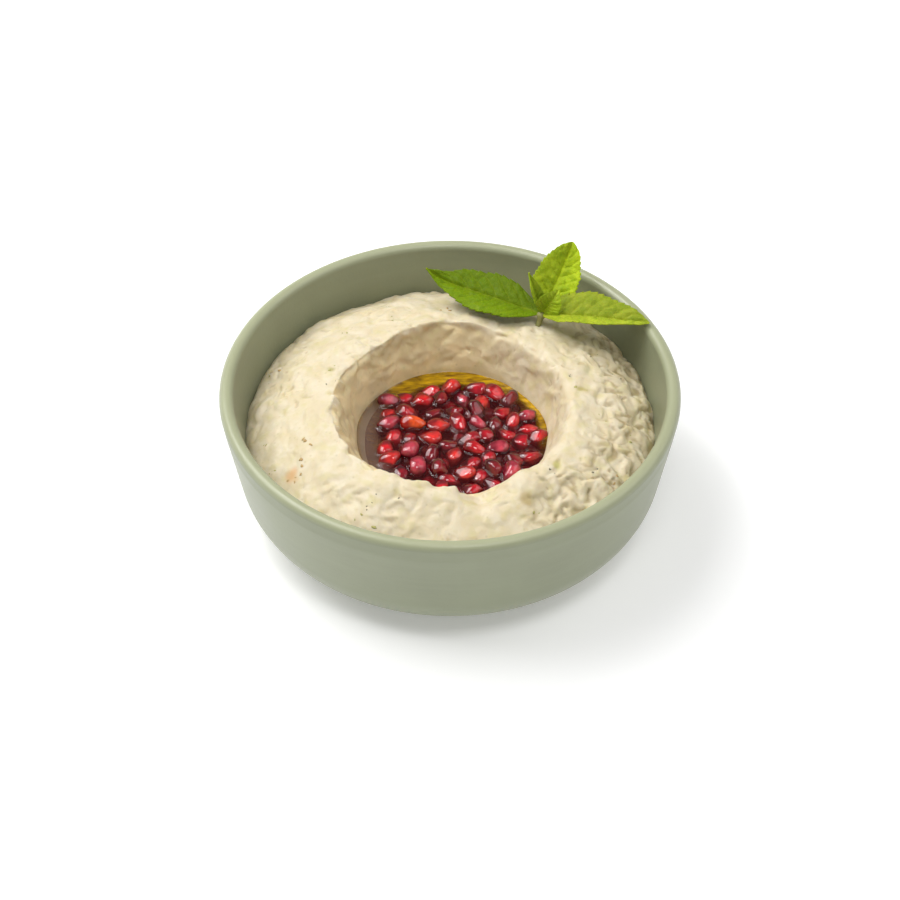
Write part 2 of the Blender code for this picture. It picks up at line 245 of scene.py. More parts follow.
GRADIENTS = np.array([g for g in itertools.product((-1, 0, 1), repeat=3) if sum(map(abs, g)) == 2])


# ---------------------------------------------------------------- numbers


def perlin(points, size, seed):
    """Smooth noise from about -1 to 1 at each point, with features of the given size."""
    table = np.random.default_rng(seed).permutation(256)
    spots = points / size
    corner = np.floor(spots).astype(int)
    part = spots - corner
    ease = part ** 3 * (part * (part * 6 - 15) + 10)
    total = np.zeros(len(points))
    for offset in itertools.product((0, 1), repeat=3):
        index = (corner + offset) & 255
        picked = table[(table[(table[index[:, 0]] + index[:, 1]) & 255] + index[:, 2]) & 255]
        weight = np.prod(np.where(np.array(offset) == 1, ease, 1 - ease), axis=1)
        total += weight * np.sum(GRADIENTS[picked % len(GRADIENTS)] * (part - offset), axis=1)
    return total


def billow(points, size, seed):
    """Rounded clots of about the given size: 0 in the creases between them, 1 on their tops."""
    height = np.sqrt(perlin(points, size, seed) ** 2 + CREASE_WIDTH ** 2) - CREASE_WIDTH
    return 1 - (1 - np.minimum(2.6 * height, 1)) ** 2


def smooth_step(low, high, value):
    share = np.clip((value - low) / (high - low), 0.0, 1.0)
    return share * share * (3 - 2 * share)


def round_the_bowl(values, azimuth):
    """A smooth reading of values that are spaced evenly round the bowl from the east."""
    table = np.array(values)
    turn_share = azimuth / TAU * len(table)
    here = np.floor(turn_share).astype(int)
    share = turn_share - here
    ease = share * share * (3 - 2 * share)
    return table[here % len(table)] * (1 - ease) + table[(here + 1) % len(table)] * ease


def facing(azimuth, towards, spread):
    """1 at one azimuth in degrees, falling softly to 0 at spread degrees from it."""
    turn = np.abs((np.degrees(azimuth) - towards + 180) % 360 - 180)
    return 1 - smooth_step(0.45 * spread, spread, turn)


def unit(vectors):
    return vectors / np.maximum(np.linalg.norm(vectors, axis=-1, keepdims=True), 1e-12)


def linear(colour):
    """sRGB channels as linear light."""
    value = np.asarray(colour, float)
    return np.where(value <= 0.04045, value / 12.92, ((value + 0.055) / 1.055) ** 2.4)


# ---------------------------------------------------------------- meshes


def add_mesh(name, points, faces, smooth=True):
    mesh = bpy.data.meshes.new(name)
    mesh.from_pydata([tuple(p) for p in points], [], faces)
    mesh.update()
    if smooth:
        mesh.shade_smooth()
    obj = bpy.data.objects.new(name, mesh)
    bpy.context.scene.collection.objects.link(obj)
    return obj


def polar_faces(rings, segments):
    """Faces of a closed body of rings between two points on the axis, the first one on top."""
    last = 1 + rings * segments
    faces = []
    for j in range(segments):
        after = (j + 1) % segments
        faces.append((0, 1 + j, 1 + after))
        for i in range(rings - 1):
            near = 1 + i * segments
            far = near + segments
            faces.append((near + j, far + j, far + after, near + after))
        end = 1 + (rings - 1) * segments
        faces.append((last, end + after, end + j))
    return faces


def add_polar(name, top, grid, bottom):
    """A closed body from a grid of ring points and its two points on the axis."""
    rings, segments, _ = grid.shape
    points = np.vstack([[top], grid.reshape(-1, 3), [bottom]])
    return add_mesh(name, points, polar_faces(rings, segments))


def grid_normals(grid):
    """Normals of a grid of ring points, which closes round its segments."""
    outward = np.gradient(grid, axis=0)
    along = np.roll(grid, -1, axis=1) - np.roll(grid, 1, axis=1)
    return unit(np.cross(outward, along))


def soften(values, reach):
    """Averages each ring of a grid with its neighbours, reach rings to each side."""
    padded = np.pad(values, ((reach, reach), (0, 0), (0, 0)), mode="edge")
    return sum(padded[k:k + len(values)] for k in range(2 * reach + 1)) / (2 * reach + 1)


def unit_ball(subdivisions):
    """The points and the triangles of an icosphere of radius 1."""
    ball = bmesh.new()
    bmesh.ops.create_icosphere(ball, subdivisions=subdivisions, radius=1.0)
    shape = np.array([v.co for v in ball.verts])
    links = np.array([[v.index for v in f.verts] for f in ball.faces])
    ball.free()
    return shape, links


def paint(obj, name, colours):
    """Stores one linear colour per vertex."""
    layer = obj.data.color_attributes.new(name, "FLOAT_COLOR", "POINT")
    values = np.ones((len(obj.data.vertices), 4), np.float32)
    values[:, :3] = colours
    layer.data.foreach_set("color", values.ravel())


def weigh(obj, name, values):
    """Stores one number per vertex."""
    layer = obj.data.attributes.new(name, "FLOAT", "POINT")
    layer.data.foreach_set("value", np.asarray(values, np.float32))


def finish_piece(obj, material, slot, *nodes):
    obj.data.materials.clear()
    obj.data.materials.append(material)
    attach(obj, "root")
    if nodes:
        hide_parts(*nodes)


# ---------------------------------------------------------------- shader nodes


class Shader:
    """A material's nodes, added one call at a time; each call returns its output socket."""

    def __init__(self, name):
        self.material = bpy.data.materials.new(name)
        self.material.use_nodes = True
        self.tree = self.material.node_tree
        self.principled = self.tree.nodes["Principled BSDF"]
        self.place = self.add("ShaderNodeTexCoord").outputs["Object"]

    def add(self, kind, inputs=None, **settings):
        node = self.tree.nodes.new(kind)
        for key, value in settings.items():
            setattr(node, key, value)
        for key, value in (inputs or {}).items():
            self.join(value, node.inputs[key])
        return node

    def join(self, value, socket):
        if isinstance(value, bpy.types.NodeSocket):
            self.tree.links.new(value, socket)
        else:
            socket.default_value = value

    def set(self, **sockets):
        for key, value in sockets.items():
            self.join(value, self.principled.inputs[key.replace("_", " ")])

    def stretched(self, x, y, z):
        return self.add("ShaderNodeMapping", {"Vector": self.place, "Scale": (x, y, z)}).outputs[0]

    def noise(self, size, detail=3.0, roughness=0.5, place=None):
        inputs = {"Vector": place or self.place, "Scale": 1 / size, "Detail": detail,
                  "Roughness": roughness}
        return self.add("ShaderNodeTexNoise", inputs).outputs["Fac"]

    def cells(self, size, feature="F1"):
        inputs = {"Vector": self.place, "Scale": 1 / size}
        return self.add("ShaderNodeTexVoronoi", inputs, feature=feature).outputs["Distance"]

    def attribute(self, name, output="Color"):
        return self.add("ShaderNodeAttribute", attribute_name=name).outputs[output]

    def range(self, value, low, high, low_to=0.0, high_to=1.0):
        inputs = {"Value": value, "From Min": low, "From Max": high, "To Min": low_to,
                  "To Max": high_to}
        return self.add("ShaderNodeMapRange", inputs).outputs[0]

    def math(self, operation, first, second=0.0):
        node = self.add("ShaderNodeMath", operation=operation)
        self.join(first, node.inputs[0])
        self.join(second, node.inputs[1])
        return node.outputs[0]

    def colour(self, red, green, blue):
        return (*linear((red, green, blue)), 1.0)

    def mix(self, factor, first, second, blend="MIX"):
        node = self.add("ShaderNodeMix", data_type="RGBA", blend_type=blend)
        self.join(factor, node.inputs["Factor"])
        self.join(first, node.inputs[6])
        self.join(second, node.inputs[7])
        return node.outputs[2]

    def bump(self, height, distance, strength=1.0):
        inputs = {"Height": height, "Distance": distance, "Strength": strength}
        return self.add("ShaderNodeBump", inputs).outputs[0]


# ---------------------------------------------------------------- bowl


def wall_radius(depth, inset):
    """Radius of the sloping wall, moved inward by inset at right angles to it."""
    return RIM_RADIUS - WALL_SLOPE * (depth - LIP_DEPTH) - inset * math.hypot(1.0, WALL_SLOPE)


def heel_arc(inset, steps):
    """(radius, depth) points from the foot of the wall to the flat of the base."""
    centre_depth = BOWL_HEIGHT - FOOT_HEIGHT - HEEL_RADIUS
    centre_radius = wall_radius(centre_depth, HEEL_RADIUS)
    angles = np.linspace(math.atan(WALL_SLOPE), math.pi / 2, steps + 1)
    size = HEEL_RADIUS - inset
    return [(centre_radius + size * math.cos(a), centre_depth + size * math.sin(a)) for a in angles]


def lip_arc(steps):
    """(radius, depth) points over the rounded rim, from the inside to the outside."""
    half = WALL / 2
    angles = np.linspace(math.pi, 0.0, steps + 1)
    return [(RIM_RADIUS - half + half * math.cos(a), half - half * math.sin(a)) for a in angles]


def straight(start, end, steps):
    """Points from start to end, without the two ends."""
    shares = [step / steps for step in range(1, steps)]
    return [tuple(a + (b - a) * share for a, b in zip(start, end)) for share in shares]


def foot_points():
    """(radius, depth) points round the foot ring and across the hollow inside it."""
    base = BOWL_HEIGHT - FOOT_HEIGHT
    points = [(FOOT_OUTER + FOOT_BEVEL, base)]
    for centre, first_quarter in ((FOOT_OUTER - FOOT_BEVEL, 0), (FOOT_INNER + FOOT_BEVEL, 1)):
        for step in range(5):
            angle = math.pi / 2 * (first_quarter + step / 4)
            points.append((centre + FOOT_BEVEL * math.cos(angle),
                           BOWL_HEIGHT - FOOT_BEVEL + FOOT_BEVEL * math.sin(angle)))
    points.append((FOOT_INNER - FOOT_BEVEL, BOWL_HEIGHT - FOOT_HOLLOW))
    return points


def bowl_profile():
    inside = heel_arc(WALL, 20)[::-1]
    lip = lip_arc(20)
    neck = (wall_radius(NECK_DEPTH, NECK_STEP), NECK_DEPTH)
    shoulder = (wall_radius(SHOULDER_DEPTH, 0.0), SHOULDER_DEPTH)
    outside = heel_arc(0.0, 24)
    return (inside + straight(inside[-1], lip[0], 16) + lip + [neck, shoulder]
            + straight(shoulder, outside[0], 16) + outside + foot_points())


def bowl_material():
    shader = Shader("sage_glaze")
    height = shader.add("ShaderNodeSeparateXYZ", {"Vector": shader.place}).outputs["Z"]
    cloud = shader.noise(28 * MM, 4.0)
    grain = shader.noise(1.1 * MM, 2.0)
    throwing = shader.noise(2.4 * MM, 2.0, place=shader.stretched(0.05, 0.05, 1.0))
    body = shader.mix(shader.range(cloud, 0.35, 0.65), shader.colour(0.526, 0.546, 0.442),
                      shader.colour(0.552, 0.573, 0.466))
    body = shader.mix(shader.range(throwing, 0.4, 0.7, 0.0, 0.25), body,
                      shader.colour(0.565, 0.585, 0.478))
    specks = shader.range(shader.cells(3.2 * MM), 0.02, 0.07, 0.35, 0.0)
    body = shader.mix(specks, body, shader.colour(0.40, 0.41, 0.31))
    rim = shader.range(height, BOWL_HEIGHT - 2.2 * MM, BOWL_HEIGHT - 0.2 * MM, 0.0, 0.65)
    body = shader.mix(rim, body, shader.colour(0.690, 0.700, 0.560))
    foot = shader.range(height, 0.8 * MM, 1.6 * MM, 1.0, 0.0)
    body = shader.mix(foot, body, shader.colour(0.74, 0.68, 0.58))
    relief = shader.math("ADD", shader.math("MULTIPLY", throwing, 0.6), grain)
    shader.set(Base_Color=body, Roughness=shader.range(cloud, 0.3, 0.7, 0.33, 0.43),
               Normal=shader.bump(relief, 0.05 * MM, 0.7), Coat_Weight=0.15, Coat_Roughness=0.25,
               Specular_IOR_Level=0.5)
    return shader.material


def turned(profile, segments):
    """A grid of ring points turned from (radius, depth) points."""
    azimuth = np.arange(segments) * TAU / segments
    radius = np.array([p[0] for p in profile])[:, None]
    height = BOWL_HEIGHT - np.array([p[1] for p in profile])[:, None] + 0 * azimuth
    return np.stack([radius * np.cos(azimuth), radius * np.sin(azimuth), height], axis=-1)


def make_bowl():
    profile = bowl_profile()
    grid = turned(profile, BOWL_SEGMENTS)
    top = (0.0, 0.0, BOWL_HEIGHT - profile[0][1])
    bottom = (0.0, 0.0, BOWL_HEIGHT - profile[-1][1])
    bowl = add_polar("stoneware_bowl", top, grid, bottom)
    finish_piece(bowl, bowl_material(), "bowl", "bowl")


# ---------------------------------------------------------------- dip


def contact_radius():
    return wall_radius(WALL_CONTACT_DEPTH, WALL)


def surface_depth(radius, crisp=0.0):
    """Depth of the round, smooth dip surface; crisp makes the well's crest less rounded."""
    floor = WELL_DEPTH + (OIL_DEPTH - WELL_DEPTH) * np.minimum(radius / POOL_RADIUS, 1) ** WELL_POWER
    climb = np.clip((radius - POOL_RADIUS) / (CREST_RADIUS - POOL_RADIUS), 0, 1)
    rounded = np.sin(math.pi / 2 * climb)
    rise = rounded + crisp * (climb ** 0.75 - rounded)
    wall = OIL_DEPTH + (CREST_DEPTH - OIL_DEPTH) * rise
    fall = np.clip((radius - CREST_RADIUS) / (contact_radius() - CREST_RADIUS), 0, 1)
    dome = CREST_DEPTH + (WALL_CONTACT_DEPTH - CREST_DEPTH) * fall ** DOME_POWER
    return np.where(radius <= POOL_RADIUS, floor, np.where(radius <= CREST_RADIUS, wall, dome))


def settle(radius, azimuth):
    """The out-of-round radius that a point of a round food outline settles at."""
    pool = round_the_bowl(POOL_OUTLINE, azimuth)
    heap = np.minimum(round_the_bowl(HEAP_OUTLINE, azimuth), pool - OIL_MARGIN)
    crest = round_the_bowl(CREST_OUTLINE, azimuth)
    edge = contact_radius()
    knots = ((0.0, 0.0), (HEAP_RADIUS, heap), (POOL_RADIUS, pool), (CREST_RADIUS, crest), (edge, edge))
    settled = np.zeros_like(radius)
    for (low, low_to), (high, high_to) in zip(knots, knots[1:]):
        settled = np.where(radius > low, low_to + (high_to - low_to) * (radius - low) / (high - low),
                           settled)
    return settled


def lumps(x, y, radius):
    """Height of the spooned dip above its smooth surface; radius is the round outline's."""
    edge = smooth_step(CREST_RADIUS, contact_radius(), radius)
    tide = round_the_bowl(CONTACT_RISE, np.arctan2(y, x)) * edge
    flat = zip(x.ravel() / LUMP_SIZE, y.ravel() / LUMP_SIZE)
    rough = np.array([noise.noise(Vector((u, v, 0.0))) for u, v in flat]).reshape(x.shape)
    rough = rough * LUMP_HEIGHT
    for mark_x, mark_y, size, rise in SPOON_MARKS:
        rough += rise * np.exp(-((x - mark_x) ** 2 + (y - mark_y) ** 2) / size ** 2)
    return tide + rough * smooth_step(POOL_RADIUS, CREST_RADIUS, radius)


def dip_top(x, y):
    """Height of the dip's surface, without its fine relief, under each point."""
    azimuth = np.arctan2(y, x)
    wanted = np.hypot(x, y)
    low = np.zeros_like(wanted)
    high = np.full_like(wanted, contact_radius())
    for _ in range(24):
        middle = (low + high) / 2
        short = settle(middle, azimuth) < wanted
        low = np.where(short, middle, low)
        high = np.where(short, high, middle)
    return BOWL_HEIGHT - surface_depth(low) + lumps(x, y, low)


def dip_rings():
    """Round radii of the dip's top rings: the well's floor, its wall, then the dome."""
    floor = POOL_RADIUS * (np.arange(1, FLOOR_RINGS + 1) / FLOOR_RINGS) ** 0.5
    climb = np.arange(1, WELL_RINGS + 1) / WELL_RINGS
    wall = POOL_RADIUS + (CREST_RADIUS - POOL_RADIUS) * climb
    dome = np.linspace(CREST_RADIUS, contact_radius(), DOME_RINGS + 1)[1:]
    return np.concatenate([floor, wall, dome])


def crisp_crest(azimuth):
    """1 where the well's crest is a crisp edge, 0 on the east, where the well slopes out softly."""
    return 1 - facing(azimuth, -5, 95)


def dip_relief(grid, radius, azimuth):
    """How far each point stands out from the smooth surface, and how much painted shade it takes in a
    crease or pit.

    The dome is lumpy all over, more so where it is rugged and most of all towards the east.
    Heights in the sums are in millimetres.
    """
    points = grid.reshape(-1, 3)
    shape = radius.shape
    flat = np.hypot(grid[..., 0], grid[..., 1])
    above = smooth_step(POOL_RADIUS, POOL_RADIUS + 1.5 * MM, radius)
    dome = smooth_step(CREST_RADIUS - 1.0 * MM, CREST_RADIUS + 4 * MM, radius)
    wall = above * (1 - dome)
    drift = np.stack([perlin(points, DRIFT_SIZE, seed) for seed in (5, 6, 7)], axis=-1) * DRIFT
    loose = points + drift
    rugged = smooth_step(-0.15, 0.35, perlin(points, RUGGED_SIZE, 19)).reshape(shape)
    east = facing(azimuth, -6, 70) * smooth_step(50 * MM, 60 * MM, flat)
    clots = billow(loose, CLOT_SIZE, 11).reshape(shape)
    crumbs = 0.5 * billow(loose, CRUMB_SIZES[0], 12) + 0.6 * perlin(loose, CRUMB_SIZES[1], 15)
    crumbs = 0.25 + crumbs.reshape(shape)
    grit = perlin(points, GRIT_SIZE, 13).reshape(shape)
    pits = smooth_step(0.34, 0.60, perlin(loose, PIT_SIZE, 14)).reshape(shape)
    ragged = perlin(loose, RAGGED_SIZE, 18).reshape(shape)
    lip = np.exp(-((radius - CREST_RADIUS) / (1.6 * MM)) ** 2) * crisp_crest(azimuth)

    relief = dome * (0.50 + 0.30 * rugged + 0.45 * east) * (clots - 0.6)
    relief += above * (0.28 + 0.28 * rugged + 0.44 * east) * (1 - 0.4 * wall) * (crumbs - 0.5)
    relief += above * (0.06 + 0.10 * rugged + 0.22 * east) * grit
    relief -= above * (0.12 + 0.35 * rugged + 0.45 * east) * pits
    relief += lip * (1.6 * ragged + 0.15 * grit) + wall * 0.7 * ragged
    # Painted shade: dark in the creases between the clots on the east and in the pits
    crease_shade = dome * east * (1 - smooth_step(0.12, 0.42, crumbs))
    crease_shade = np.maximum(crease_shade, 0.6 * pits * np.maximum(rugged, east) * above)
    return relief * MM, crease_shade


def dip_edge(grid, radius, azimuth):
    """Rolls the dip's rim down where it meets the bowl, with small bumps along the line."""
    round_run = np.zeros((azimuth.shape[1], 3))
    round_run[:, 0] = azimuth[-1] * EDGE_RUN_RADIUS
    wave = perlin(round_run, EDGE_WAVE_SIZE, 18)
    roll = np.clip(1 - (contact_radius() - radius) / EDGE_ROLL_WIDTH, 0, 1)
    grid[..., 2] -= (EDGE_DROP + EDGE_WAVE * wave) * roll ** EDGE_ROLL_POWER
    depth = BOWL_HEIGHT - grid[-1, :, 2]
    reach = RIM_RADIUS - WALL_SLOPE * (depth - LIP_DEPTH) - (WALL - EMBED) * math.hypot(1, WALL_SLOPE)
    grid[-1, :, 0] = reach * np.cos(azimuth[-1])
    grid[-1, :, 1] = reach * np.sin(azimuth[-1])


def dip_colours(grid, radius, azimuth, crease_shade):
    """Cream with straw patches, beige down the well, and brown painted shade in creases, in pits and
    under the crest.
    """
    points = grid.reshape(-1, 3)
    shape = radius.shape
    cream, pale, straw, beige, shade_brown = (linear(tone) for tone in DIP_TONES)
    soft = 1 - crisp_crest(azimuth)
    ragged = perlin(points, RAGGED_SIZE, 18) + 0.2 * perlin(points, 2.0 * MM, 20)
    ragged = ragged.reshape(shape) * TONE_RAGGEDNESS
    edge = CREST_RADIUS - (0.6 + 2.0 * soft) * MM
    well = smooth_step(edge + (0.5 + 2.6 * soft) * MM, edge - (0.4 + 4.0 * soft) * MM, radius + ragged)
    well *= 1 - 0.92 * soft
    mottle = smooth_step(-0.35, 0.35, perlin(points, 5.5 * MM, 21)).reshape(shape)[..., None]
    patch = smooth_step(0.18, 0.55, perlin(points, 4.0 * MM, 22)).reshape(shape)
    colour = cream + (pale - cream) * mottle
    colour += (straw - colour) * (0.5 * patch)[..., None]
    colour += (beige * (0.90 + 0.18 * mottle) - colour) * well[..., None]
    # Painted shade: a brown band just below the crest on the north side, under its crumbly ledge
    under = np.exp(-((radius + ragged - CREST_RADIUS + 1.6 * MM) / (0.9 * MM)) ** 2)
    under *= facing(azimuth, 105, 60) * 0.35
    # Painted shade: brown in the creases, in the pits and under the crest
    colour += (shade_brown - colour) * np.maximum(0.65 * crease_shade, under)[..., None]
    for x, y, size, tone in STAINS:
        away = np.hypot(grid[..., 0] / MM - x, grid[..., 1] / MM - y) / size
        stain = smooth_step(1.3, 0.3, away + 0.6 * ragged / MM)
        colour += (linear(tone) - colour) * (0.75 * stain)[..., None]
    return colour


def dip_material():
    shader = Shader("aubergine_dip")
    # The tone attribute holds the dip's colours with painted shade in its creases, pits and under the
    # crest
    base = shader.attribute("tone")
    fine = shader.noise(1.6 * MM, 4.0, 0.6)
    blotch = shader.noise(4.0 * MM, 4.0, 0.65)
    flecks = shader.range(shader.cells(3.0 * MM), 0.04, 0.20, 0.30, 0.0)
    body = shader.mix(shader.range(fine, 0.35, 0.65, 0.0, 0.20), base,
                      shader.colour(0.82, 0.76, 0.61))
    body = shader.mix(shader.range(blotch, 0.52, 0.66, 0.0, 0.35), body,
                      shader.colour(0.82, 0.77, 0.55))
    body = shader.mix(flecks, body, shader.colour(0.68, 0.63, 0.44))
    shader.set(Base_Color=body, Roughness=shader.range(fine, 0.3, 0.7, 0.46, 0.62),
               Normal=shader.bump(fine, 0.22 * MM, 0.7), Subsurface_Weight=0.25,
               Subsurface_Scale=2.5 * MM, Specular_IOR_Level=0.4)
    shader.principled.inputs["Subsurface Radius"].default_value = (1.0, 0.7, 0.4)
    return shader.material


def make_dip():
    rings = dip_rings()
    azimuth = np.arange(DIP_SEGMENTS) * TAU / DIP_SEGMENTS
    radius, azimuth = np.meshgrid(rings, azimuth, indexing="ij")
    settled = settle(radius, azimuth)
    x, y = settled * np.cos(azimuth), settled * np.sin(azimuth)
    depth = surface_depth(radius, crisp_crest(azimuth))
    grid = np.stack([x, y, BOWL_HEIGHT - depth + lumps(x, y, radius)], axis=-1)
    blend = (1 - crisp_crest(azimuth)) * np.exp(-((radius - CREST_RADIUS) / (5 * MM)) ** 2)
    grid += (soften(grid, CREST_REACH) - grid) * blend[..., None]
    relief, crease_shade = dip_relief(grid, radius, azimuth)
    grid += unit(soften(grid_normals(grid), NORMAL_REACH)) * relief[..., None]
    dip_edge(grid, radius, azimuth)
    tone = dip_colours(grid, radius, azimuth, crease_shade)
    under = turned(heel_arc(WALL - EMBED, UNDERSIDE_RINGS), DIP_SEGMENTS)
    whole = np.concatenate([grid, under])
    base = whole[-1, 0, 2]
    dip = add_polar("dip_surface", (0, 0, BOWL_HEIGHT - WELL_DEPTH), whole, (0, 0, base))
    rest = np.repeat(tone[-1:], len(under), axis=0)
    colours = np.vstack([tone[0, :1], np.concatenate([tone, rest]).reshape(-1, 3), tone[-1, :1]])
    paint(dip, "tone", colours)
    finish_piece(dip, dip_material(), "dip", "dip")
    return grid[FLOOR_RINGS:]


# ---------------------------------------------------------------- flecks in the dip


FLECKS = (
    # name, places in millimetres, scattered clusters, bits in each, size in mm, colour, seed
    ("char_flecks", ((-18, -51), (43, 10), (34, -38)), 6, 2, (0.22, 0.48),
     (0.50, 0.47, 0.36), 31),
    ("green_flecks", ((46, 3), (-42, 14)), 12, 2, (0.30, 0.70), (0.76, 0.73, 0.44), 32),
    ("roast_flecks", ((-54, -34),), 5, 3, (0.40, 0.85), (0.82, 0.68, 0.44), 33),
)
CLUSTER_SPREAD = 1.5 * MM
FLECK_DETAIL = 2
FLECK_FLATNESS = 0.22
EDGE_ROWS_WITHOUT_FLECKS = 6


def make_flecks(surface):
    """Small irregular bits of herb, char and roast skin, half sunk in the dip's surface."""
    normals = grid_normals(surface)
    shape, links = unit_ball(FLECK_DETAIL)
    for name, places, clusters, bits, (small, large), colour, seed in FLECKS:
        random = np.random.default_rng(seed)
        spots = [np.array(place) * MM for place in places]
        for _ in range(clusters):
            row = random.integers(WELL_RINGS, len(surface) - EDGE_ROWS_WITHOUT_FLECKS)
            spots.append(surface[row, random.integers(0, DIP_SEGMENTS), :2])
        points, faces = [], []
        for spot in np.repeat(spots, bits, axis=0):
            near = spot + random.normal(scale=CLUSTER_SPREAD, size=2)
            away = np.hypot(*np.moveaxis(surface[WELL_RINGS:-4, :, :2] - near, -1, 0))
            i, j = np.unravel_index(np.argmin(away), away.shape)
            i += WELL_RINGS
            up = normals[i, j]
            side = unit(np.cross(up, random.normal(size=3)))
            along = np.cross(up, side)
            rough = 1 + 0.9 * perlin(shape + 9.1 * len(points), 0.9, seed)[:, None]
            body = shape * rough * [1.0, random.uniform(0.4, 0.9), FLECK_FLATNESS]
            faces += (links + len(shape) * len(points)).tolist()
            size = random.uniform(small, large) * MM
            points.append(surface[i, j] + (body @ np.array([side, along, up])) * size)
        piece = add_mesh(name, np.vstack(points), faces)
        shader = Shader(name)
        tone = shader.mix(shader.noise(0.5 * MM), shader.colour(*colour),
                          shader.colour(*(0.8 * c for c in colour)))
        shader.set(Base_Color=tone, Roughness=0.6,
                   Normal=shader.bump(shader.noise(0.3 * MM), 0.05 * MM))
        finish_piece(piece, shader.material, "dip")


# ---------------------------------------------------------------- pomegranate seeds


OIL_LEVEL = BOWL_HEIGHT - OIL_DEPTH
# Painted glow: the side of each seed that faces this way, away from the key light, is painted brighter
PAINTED_GLOW_SIDE = unit(np.array([0.30, -0.50, 0.85]))


def seed_shape(shape, random):
    """A faceted teardrop: a rounded body between flat sides, narrower at one end."""
    sides = unit(random.normal(size=(11, 3)) * [0.7, 1.0, 1.0])
    reach = random.uniform(0.80, 1.0, size=len(sides))
    lean = np.maximum(shape @ sides.T, 0) / reach
    size = np.sum(lean ** 9, axis=1) ** (-1 / 9)
    body = shape * np.clip(size, 0.7, 1.05)[:, None]
    body[:, 1:] *= 1 - 0.16 * body[:, :1]
    scale = np.array([SEED_LENGTH, SEED_WIDTH, SEED_THICKNESS]) / 2
    return body * scale * random.uniform(0.88, 1.10)


def scattered(taken, spacing, inset, random, tries=6000):
    """Places for more seeds inside the heap's outline, spacing apart."""
    places = list(taken)
    first = len(places)
    for _ in range(tries):
        azimuth = random.uniform(0, TAU)
        limit = settle(np.array(HEAP_RADIUS), np.array(azimuth)) - inset
        radius = limit * math.sqrt(random.uniform())
        spot = np.array([radius * math.cos(azimuth), radius * math.sin(azimuth)])
        if all(np.hypot(*(spot - other)) > spacing for other in places):
            places.append(spot)
    return places[first:]


def seed_rows():
    """(x, y, height of centre, heading, colour) of every seed."""
    random = np.random.default_rng(41)
    rows = []
    for x, y, heading, kind in PLACED_SEEDS:
        lift = random.uniform(-1.1, 0.3) * MM
        rows.append((x * MM, y * MM, OIL_LEVEL + lift, math.radians(heading), kind))
    taken = [np.array(row[:2]) for row in rows]
    for x, y in scattered(taken, SEED_SPACING, 2.6 * MM, random):
        lift = random.uniform(-2.3, 0.1) * MM
        kind = random.choice(["scarlet", "scarlet", "ruby", "ruby", "wine", "wine", "rose", "coral"])
        rows.append((x, y, OIL_LEVEL + lift, random.uniform(0, TAU), kind))
    for x, y in scattered([], SUNK_SPACING, 3.4 * MM, random):
        kind = random.choice(["wine", "ruby"])
        rows.append((x, y, OIL_LEVEL - SUNK_DEPTH, random.uniform(0, TAU), kind))
    return rows


def seed_axes(heading, random):
    """The seed's own directions: nearly level, turned to its heading."""
    tilt = random.normal(scale=0.22)
    along = np.array([math.cos(heading), math.sin(heading), tilt])
    up = np.array([random.normal(scale=0.25), random.normal(scale=0.25), 1.0])
    along = unit(along)
    side = unit(np.cross(up, along))
    return np.array([along, side, np.cross(along, side)])


def seed_material():
    shader = Shader("pomegranate_seed")
    veil = shader.noise(1.4 * MM, 2.0)
    # The tone attribute holds each seed's colour with its painted glow
    tone = shader.mix(shader.range(veil, 0.45, 0.7, 0.0, 0.35), shader.attribute("tone"),
                      shader.colour(0.28, 0.0, 0.03))
    shader.set(Base_Color=tone, Roughness=0.10, Coat_Weight=0.6, Coat_Roughness=0.02,
               Subsurface_Weight=0.15, Subsurface_Scale=1.2 * MM, Specular_IOR_Level=0.5,
               Normal=shader.bump(veil, 0.10 * MM, 0.4))
    shader.principled.inputs["Subsurface Radius"].default_value = (1.0, 0.18, 0.12)
    return shader.material


def make_seeds():
    random = np.random.default_rng(42)
    shape, links = unit_ball(SEED_DETAIL)
    rows = seed_rows()
    points, colours, faces = [], [], []
    for k, (x, y, z, heading, kind) in enumerate(rows):
        body = seed_shape(shape, random) @ seed_axes(heading, random)
        skin, glow_colour = (linear(c) for c in SEED_COLOURS[kind])
        # Painted glow: each seed is painted brighter on its side away from the key light, as if light
        # shone through it
        painted_glow = smooth_step(0.40, 1.10, unit(body) @ PAINTED_GLOW_SIDE + 0.25 * perlin(body, 2.2 * MM, 44 + k))
        points.append(body + [x, y, z])
        colours.append(skin + (glow_colour - skin) * painted_glow[:, None])
        faces += (links + len(shape) * k).tolist()
    seeds = add_mesh("pomegranate_seeds", np.vstack(points), faces)
    paint(seeds, "tone", np.vstack(colours))
    finish_piece(seeds, seed_material(), "pomegranate", "pomegranate_heap")
    return rows


